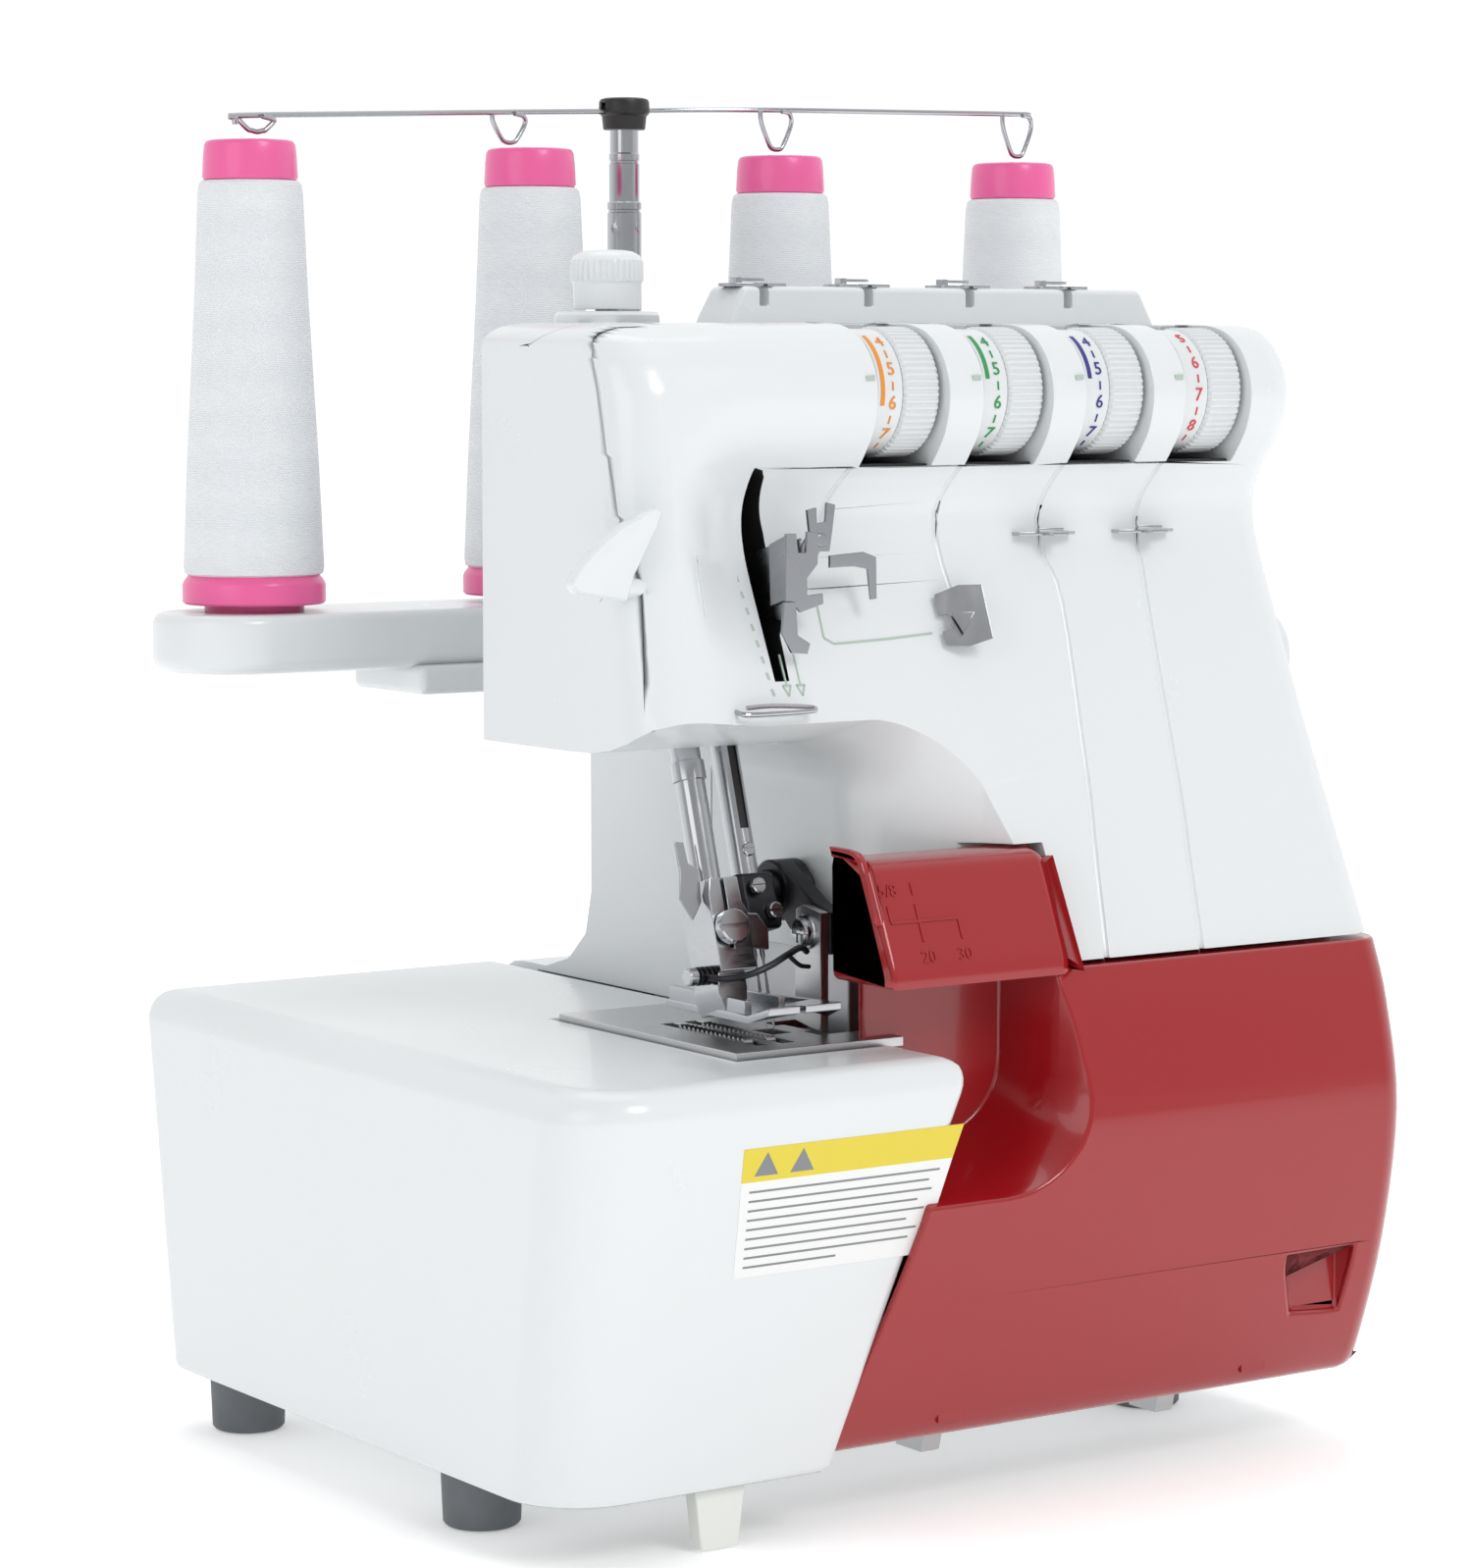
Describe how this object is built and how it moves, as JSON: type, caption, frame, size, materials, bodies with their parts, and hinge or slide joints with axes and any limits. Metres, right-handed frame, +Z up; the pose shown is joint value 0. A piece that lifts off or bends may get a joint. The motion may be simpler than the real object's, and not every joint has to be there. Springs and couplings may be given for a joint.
{
  "type": "serger overlock machine",
  "caption": "Domestic overlock sewing machine with side table, hinged red front cover, ribbed thread dials, cone stand with telescopic thread pole, presser, needles, knives and drive.",
  "frame": {"origin": "centre of the machine's footprint box, on the surface it stands on", "axes": "+X to the operator's right, +Y to the back of the machine, +Z up"},
  "size_m": [0.306, 0.2258, 0.364],
  "materials": {
    "white_plastic": "gloss",
    "red_plastic": "gloss",
    "black_plastic": "satin",
    "pale_plastic": "translucent gloss",
    "pink_plastic": "gloss",
    "foot_rubber": "matt",
    "belt_rubber": "matt",
    "cast_aluminium": "cast",
    "chrome": "polished",
    "steel": "ground",
    "blackened_steel": "satin black",
    "motor_enamel": "satin",
    "bronze": "turned",
    "thread": "soft sheen"
  },
  "bodies": {
    "machine": {"base_pan": "white_plastic", "rubber_feet": "foot_rubber", "machine_frame": "cast_aluminium", "upper_front_cover": "white_plastic", "left_face_cover": "white_plastic", "rear_cover": "white_plastic", "cover_hinge": "chrome", "thread_guide_strip": "white_plastic", "top_thread_guides": "chrome", "dial_axle": "steel", "front_thread_guides": "chrome", "lower_knife": "steel", "stitch_plate": "steel", "motor": "motor_enamel", "drive_belt": "belt_rubber", "shaft_bushes": "bronze", "power_inlet": "black_plastic", "spool_stand": "white_plastic", "spool_pins": "white_plastic", "cone_cushions": "pink_plastic", "cone_cores": "pink_plastic", "thread_windings": "thread", "pole_lower": "chrome"},
    "side_table": {"extension_table": "white_plastic", "table_leg": "pale_plastic"},
    "front_cover": {"front_cover": "red_plastic", "knife_guard": "red_plastic"},
    "dial_1": {"tension_dial_1": "white_plastic"},
    "dial_2": {"tension_dial_2": "white_plastic"},
    "dial_3": {"tension_dial_3": "white_plastic"},
    "dial_4": {"tension_dial_4": "white_plastic"},
    "lifter": {"presser_lifter_lever": "white_plastic"},
    "presser": {"presser_bar": "steel", "presser_foot": "steel", "foot_screw": "steel", "foot_wire_guide": "blackened_steel"},
    "pressure_knob": {"pressure_knob": "white_plastic"},
    "needle_drive": {"needle_bar": "steel", "needle_clamp": "blackened_steel", "needles": "steel", "needle_screws": "steel", "take_up_levers": "chrome"},
    "upper_knife": {"knife_shaft": "blackened_steel", "knife_arm": "blackened_steel", "upper_knife": "steel", "knife_screw": "chrome"},
    "upper_looper": {"upper_looper": "steel"},
    "lower_looper": {"lower_looper": "steel"},
    "feed_dogs": {"feed_dogs": "steel"},
    "drive": {"main_shaft": "steel", "main_pulley": "black_plastic", "handwheel": "white_plastic"},
    "motor_rotor": {"motor_pulley": "steel"},
    "stitch_dial": {"stitch_length_dial": "white_plastic"},
    "differential_dial": {"differential_feed_dial": "white_plastic"},
    "switch": {"power_switch": "black_plastic"},
    "pole_middle": {"pole_middle": "chrome"},
    "pole_top": {"pole_top": "chrome"},
    "thread_arm": {"pole_cap": "black_plastic", "guide_bar": "chrome"}
  },
  "joints": [
    {"name": "table_slide", "type": "slide", "parent": "machine", "child": "side_table", "axis": [-1, 0, 0], "range_m": [0, 0.06]},
    {"name": "front_cover_hinge", "type": "hinge", "parent": "machine", "child": "front_cover", "pos_m": [0.024, -0.084, 0.026], "axis": [1, 0, 0], "range_deg": [0, 52]},
    {"name": "tension_1", "type": "hinge", "parent": "machine", "child": "dial_1", "pos_m": [-0.01775, -0.0454, 0.2813], "axis": [1, 0, 0], "range_deg": [-140, 140]},
    {"name": "tension_2", "type": "hinge", "parent": "machine", "child": "dial_2", "pos_m": [0.01595, -0.0454, 0.2813], "axis": [1, 0, 0], "range_deg": [-140, 140]},
    {"name": "tension_3", "type": "hinge", "parent": "machine", "child": "dial_3", "pos_m": [0.04965, -0.0454, 0.2813], "axis": [1, 0, 0], "range_deg": [-140, 140]},
    {"name": "tension_4", "type": "hinge", "parent": "machine", "child": "dial_4", "pos_m": [0.08335, -0.0454, 0.2813], "axis": [1, 0, 0], "range_deg": [-140, 140]},
    {"name": "presser_lifter", "type": "hinge", "parent": "machine", "child": "lifter", "pos_m": [-0.09, -0.034, 0.2135], "axis": [1, 0, 0], "range_deg": [0, 40.2]},
    {"name": "presser_lift", "type": "slide", "parent": "machine", "child": "presser", "axis": [0, 0.284, 0.9588], "range_m": [-0.0044, 0]},
    {"name": "pressure_adjust", "type": "hinge", "parent": "machine", "child": "pressure_knob", "pos_m": [-0.079, -0.015, 0.3], "axis": [0, 0, 1], "range_deg": [-180, 180]},
    {"name": "handwheel_turn", "type": "hinge", "parent": "machine", "child": "drive", "pos_m": [0.067, 0.01, 0.08], "axis": [1, 0, 0], "range_deg": [-60, 120]},
    {"name": "needle_stroke", "type": "slide", "parent": "machine", "child": "needle_drive", "axis": [0, 0.284, 0.9588], "range_m": [-0.0084, 0.0168]},
    {"name": "knife_swing", "type": "hinge", "parent": "machine", "child": "upper_knife", "pos_m": [-0.023, -0.038, 0.153], "axis": [1, 0, 0], "range_deg": [-8.02, 4.02]},
    {"name": "upper_looper_swing", "type": "hinge", "parent": "machine", "child": "upper_looper", "pos_m": [-0.041, -0.05, 0.066], "axis": [0, 1, 0], "range_deg": [-6.1, 12.1]},
    {"name": "lower_looper_swing", "type": "hinge", "parent": "machine", "child": "lower_looper", "pos_m": [-0.065, -0.05, 0.062], "axis": [0, 1, 0], "range_deg": [-14.5, 7.3]},
    {"name": "feed_stroke", "type": "slide", "parent": "machine", "child": "feed_dogs", "axis": [0, 1, 0], "range_m": [-0.0016, 0.0032]},
    {"name": "motor_turn", "type": "hinge", "parent": "machine", "child": "motor_rotor", "pos_m": [0.103, 0.07, 0.062], "axis": [1, 0, 0], "range_deg": [-187, 374]},
    {"name": "stitch_length_turn", "type": "hinge", "parent": "machine", "child": "stitch_dial", "pos_m": [0.117, -0.038, 0.168], "axis": [1, 0, 0], "range_deg": [-135, 135]},
    {"name": "differential_turn", "type": "hinge", "parent": "machine", "child": "differential_dial", "pos_m": [0.117, -0.038, 0.208], "axis": [1, 0, 0], "range_deg": [-135, 135]},
    {"name": "power_rocker", "type": "hinge", "parent": "machine", "child": "switch", "pos_m": [0.11, 0.078, 0.096], "axis": [0, 1, 0], "range_deg": [-16, 0]},
    {"name": "pole_middle_slide", "type": "slide", "parent": "machine", "child": "pole_middle", "axis": [0, 0, 1], "range_m": [0, 0.09]},
    {"name": "pole_top_slide", "type": "slide", "parent": "pole_middle", "child": "pole_top", "axis": [0, 0, 1], "range_m": [0, 0.09]},
    {"name": "thread_arm_swivel", "type": "hinge", "parent": "pole_top", "child": "thread_arm", "pos_m": [0.004, 0.105, 0.358], "axis": [0, 0, 1], "range_deg": [-90, 90]}
  ],
  "couplings": [
    {"joint": "presser_lifter", "follows": "presser_lift", "rad_per_m": -158.73},
    {"joint": "needle_stroke", "follows": "handwheel_turn", "m_per_rad": 0.008},
    {"joint": "knife_swing", "follows": "handwheel_turn", "ratio": -0.066667},
    {"joint": "upper_looper_swing", "follows": "handwheel_turn", "ratio": 0.1},
    {"joint": "lower_looper_swing", "follows": "handwheel_turn", "ratio": -0.12},
    {"joint": "feed_stroke", "follows": "handwheel_turn", "m_per_rad": 0.0015},
    {"joint": "motor_turn", "follows": "handwheel_turn", "ratio": 3.1111}
  ]
}
